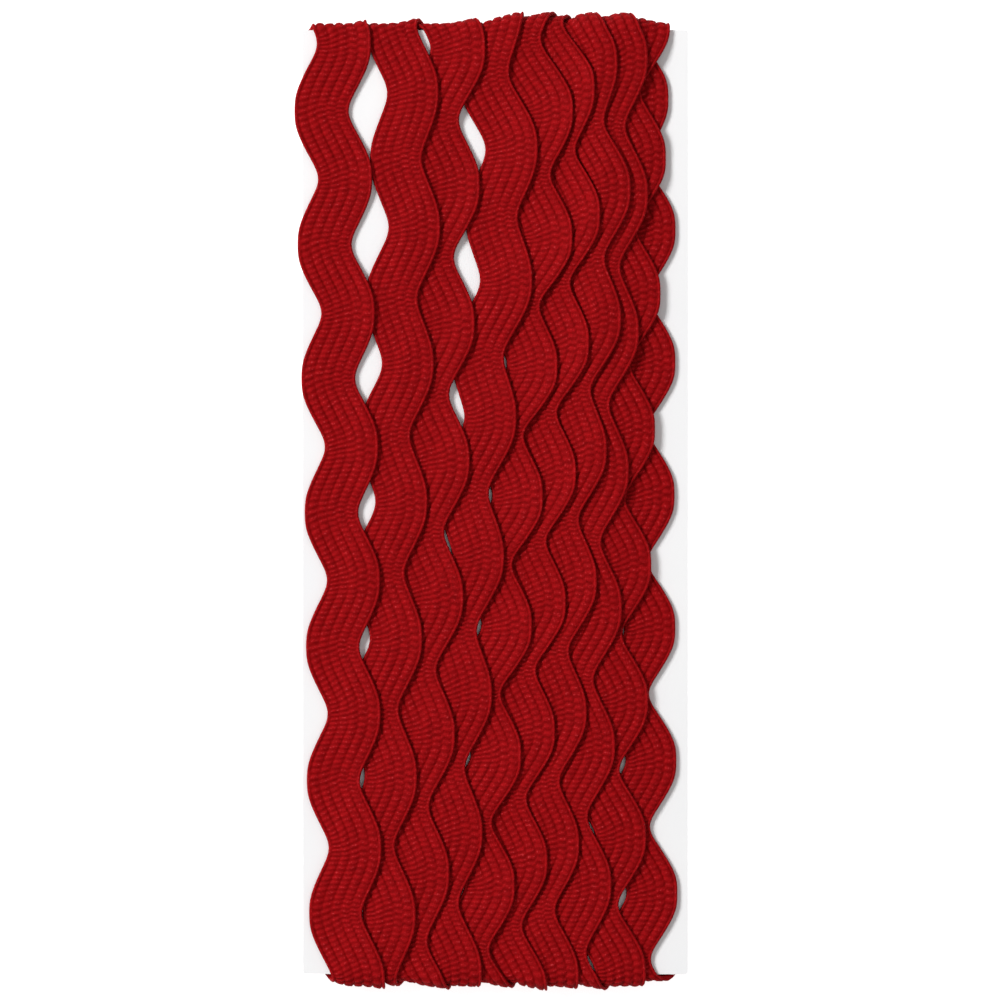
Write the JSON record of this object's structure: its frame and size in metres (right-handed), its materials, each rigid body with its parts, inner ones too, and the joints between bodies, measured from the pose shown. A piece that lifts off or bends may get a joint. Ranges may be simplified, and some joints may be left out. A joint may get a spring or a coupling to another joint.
{
  "type": "roll of ric rac on a card",
  "caption": "Flat white card wound lengthwise with one long red wavy braid, each turn lying partly over the turn before it.",
  "frame": {"origin": "middle of the underside of the whole roll, on the surface that its back lies on", "axes": "+X to the right across the card, +Y up the card, +Z out of the card's face"},
  "size_m": [0.0458, 0.1164, 0.008],
  "materials": {
    "red_braid": "matt",
    "white_board": "matt"
  },
  "bodies": {
    "root": {"card": "white_board", "ric_rac": "red_braid"}
  },
  "joints": []
}
